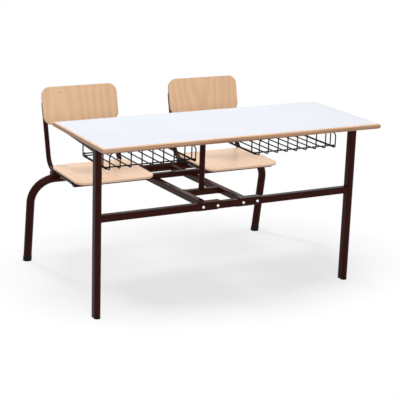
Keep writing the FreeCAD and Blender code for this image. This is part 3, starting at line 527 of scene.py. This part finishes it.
# weld beads
bar_low, bar_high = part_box("crossbar")
member_low, member_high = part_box("rail_member")
post_low, post_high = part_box("centre_post")
seat_tube_low, seat_tube_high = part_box("seat_tube")
post_middle = (post_low + post_high) / 2
post_radius = (post_high.x - post_low.x) / 2
for end, z in (("foot", post_low.z), ("head", post_high.z)):
    bead(f"post_{end}_weld", around_tube((post_middle.x, post_middle.y, z), post_radius, 2))
for side, sign in SIDES:
    leg_low, leg_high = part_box(f"{side}_leg")
    arm_low, arm_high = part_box(f"{side}_arm")
    rail_low, rail_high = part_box(f"{side}_rail")
    plate_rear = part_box(f"{side}_rail_bracket")[1].y
    inner = leg_high.x if sign < 0 else leg_low.x
    bead(f"{side}_bar_weld", around_box(bar_low, bar_high, 0, inner))
    outer = member_low.x if sign < 0 else member_high.x
    bead(f"{side}_member_weld", around_box(member_low, member_high, 0, outer))
    rail_front_low = Vector((rail_low.x, 0, rail_high.z - RAIL_HEIGHT))
    bead(f"{side}_rail_weld", around_box(rail_front_low, rail_high, 1, plate_rear))
    for hand, x in (("outer", arm_low.x), ("inner", arm_high.x)):
        y = leg_high.y - ARM_WELD_INSET
        foot = Vector((x, y, arm_low.z + ARM_WELD_FOOT))
        head = Vector((x, y, arm_high.z - ARM_WELD_HEAD))
        bead(f"{side}_{hand}_arm_weld", [foot, head], closed=False)
    hoop_low, hoop_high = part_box(f"{side}_hoop")
    for hand, x in (("a", hoop_low.x + HOOP_RADIUS), ("b", hoop_high.x - HOOP_RADIUS)):
        centre = (x, seat_tube_high.y, hoop_low.z + HOOP_RADIUS)
        bead(f"{side}_hoop_weld_{hand}", around_tube(centre, HOOP_RADIUS, 1))
    for hand, y in (("front", seat_tube_low.y), ("rear", seat_tube_high.y)):
        start = Vector((rail_low.x + SEAT_WELD_INSET, y, seat_tube_low.z))
        finish = Vector((rail_high.x - SEAT_WELD_INSET, y, seat_tube_low.z))
        bead(f"{side}_{hand}_seat_tube_weld", [start, finish], closed=False)

# pressed and sheared edges are broken a little
pressed = ["post_plate"]
for side, _ in SIDES:
    pressed += [f"{side}_rail_bracket", f"{side}_basket_tabs"]
for name in pressed:
    bevel = nodes[name].modifiers.new("broken_edges", "BEVEL")
    bevel.width = BROKEN_EDGE
    bevel.segments = 2
    bevel.limit_method = "ANGLE"

# floor
corners = [(x * FLOOR_REACH, y * FLOOR_REACH, 0) for x, y in ((-1, -1), (1, -1), (1, 1), (-1, 1))]
mesh = bpy.data.meshes.new("floor")
mesh.from_pydata(corners, [], [(0, 1, 2, 3)])
floor = bpy.data.objects.new("floor", mesh)
scene.collection.objects.link(floor)
ground = Shader("pale_floor")
dust = ground.noise(ground.place(), scale=3.0, detail=3)
pale = ground.mix(dust, (0.89, 0.895, 0.91, 1), (0.92, 0.925, 0.94, 1))
lit = ground.add("ShaderNodeBsdfDiffuse", {"Color": pale}).outputs[0]
glow = ground.add("ShaderNodeEmission", {"Color": WHITE, "Strength": 1.0}).outputs[0]
centred = ground.vector("SUBTRACT", ground.place(), SHADOW_CENTRE)
flat = ground.vector("MULTIPLY", centred, SHADOW_STRETCH)
away = ground.add("ShaderNodeVectorMath", {0: flat}, operation="LENGTH").outputs["Value"]
whitened = ground.between(away, *SHADOW_SPAN, SHADOW_WHITE, 1.0)
share = ground.math("MULTIPLY", ground.seen(), whitened)
output = ground.tree.nodes["Material Output"]
ground.feed(output.inputs["Surface"], ground.blend(share, lit, glow))
ground.tree.nodes.remove(ground.surface)
mesh.materials.append(ground.material)

# world: white where it is seen, and a soft light on everything else
world = bpy.data.worlds.new("studio")
scene.world = world
world.use_nodes = True
sky = Nodes(world.node_tree)
sky.tree.nodes.clear()
soft = sky.add("ShaderNodeBackground", {"Color": WHITE, "Strength": SKY_LIGHT}).outputs[0]
plain = sky.add("ShaderNodeBackground", {"Color": WHITE}).outputs[0]
sky.add("ShaderNodeOutputWorld", {"Surface": sky.blend(sky.seen(), soft, plain)})


def softbox(name, spot, aim, width, height, power):
    lamp = bpy.data.lights.new(name, "AREA")
    lamp.shape = "RECTANGLE"
    lamp.size = width
    lamp.size_y = height
    lamp.energy = power
    item = bpy.data.objects.new(name, lamp)
    item.location = spot
    item.rotation_euler = (Vector(aim) - Vector(spot)).to_track_quat("-Z", "Y").to_euler()
    scene.collection.objects.link(item)


# lamps
softbox("key", (-1.3, 3.5, 3.7), aim=(0, 0, 0.4), width=0.9, height=0.9, power=80)
softbox("overhead", (0.1, -0.3, 3.8), aim=(0, 0, 0.4), width=2.4, height=0.8, power=43)
softbox("front", (-0.9, -4.6, 2.0), aim=(0, 0, 0.5), width=1.6, height=1.2, power=72)

# camera
level = Vector((math.sin(AZIMUTH), -math.cos(AZIMUTH), 0))
back = level * math.cos(ELEVATION) + Z_AXIS * math.sin(ELEVATION)
right = Z_AXIS.cross(back).normalized()
rise = back.cross(right)
tilted_right = right * math.cos(ROLL) + rise * math.sin(ROLL)
tilted_rise = rise * math.cos(ROLL) - right * math.sin(ROLL)
lens = bpy.data.cameras.new("camera")
lens.sensor_width = SENSOR
lens.lens = LENS
lens.clip_end = CLIP_END
camera = bpy.data.objects.new("camera", lens)
turn = Matrix((tilted_right, tilted_rise, back)).transposed().to_4x4()
camera.matrix_world = Matrix.Translation(TARGET + back * DISTANCE) @ turn
scene.collection.objects.link(camera)
scene.camera = camera
scene.view_settings.view_transform = "Standard"
